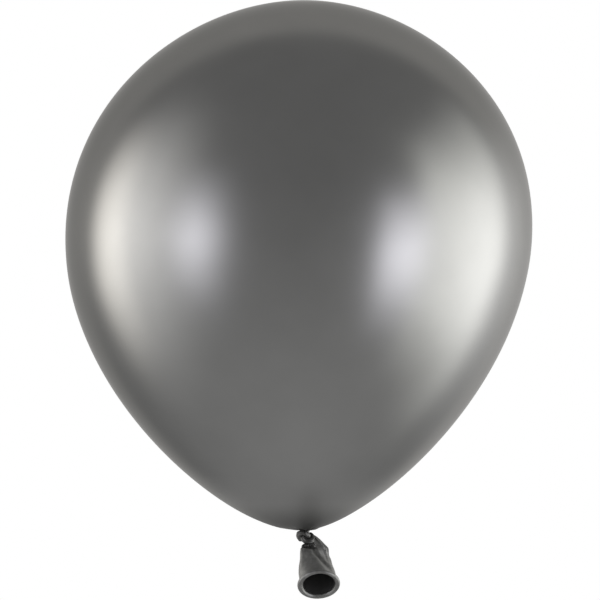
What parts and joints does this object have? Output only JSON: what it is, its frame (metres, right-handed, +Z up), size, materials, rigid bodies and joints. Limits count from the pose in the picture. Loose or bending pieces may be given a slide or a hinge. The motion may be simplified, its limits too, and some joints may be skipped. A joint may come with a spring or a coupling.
{
  "type": "giant latex balloon",
  "caption": "Large pear-shaped inflated balloon in metallic grey latex, tied with an overhand knot in its neck, with an open rolled tail hanging below.",
  "frame": {"origin": "the throat: the centre of the gathered neck where the knot closes the envelope", "axes": "+Z up, from the throat to the crown; -Y is the front, towards which the open tail hangs; +X is to the right seen from the front"},
  "size_m": [0.9, 0.9, 1.1535],
  "materials": {
    "inflated_latex": "stretched metallic pearl latex, satin mirror gloss",
    "slack_latex": "unstretched metallic pearl latex, softer sheen",
    "rolled_latex": "rolled bead of the same latex, darker and dull"
  },
  "bodies": {
    "root": {"envelope": "inflated_latex", "neck_throat": "slack_latex", "knot_loop": "slack_latex", "knot_tuck": "slack_latex", "tail_gather": "slack_latex"},
    "tail": {"tail_sleeve": "slack_latex", "rolled_rim": "rolled_latex"}
  },
  "joints": [
    {"name": "tail_swing", "type": "hinge", "parent": "root", "child": "tail", "pos_m": [0.0199, -0.0025, -0.0327], "axis": [1, 0, 0], "range_deg": [-40, 120], "stiffness_Nm_per_rad": 0.02, "springref_deg": -1.38}
  ]
}
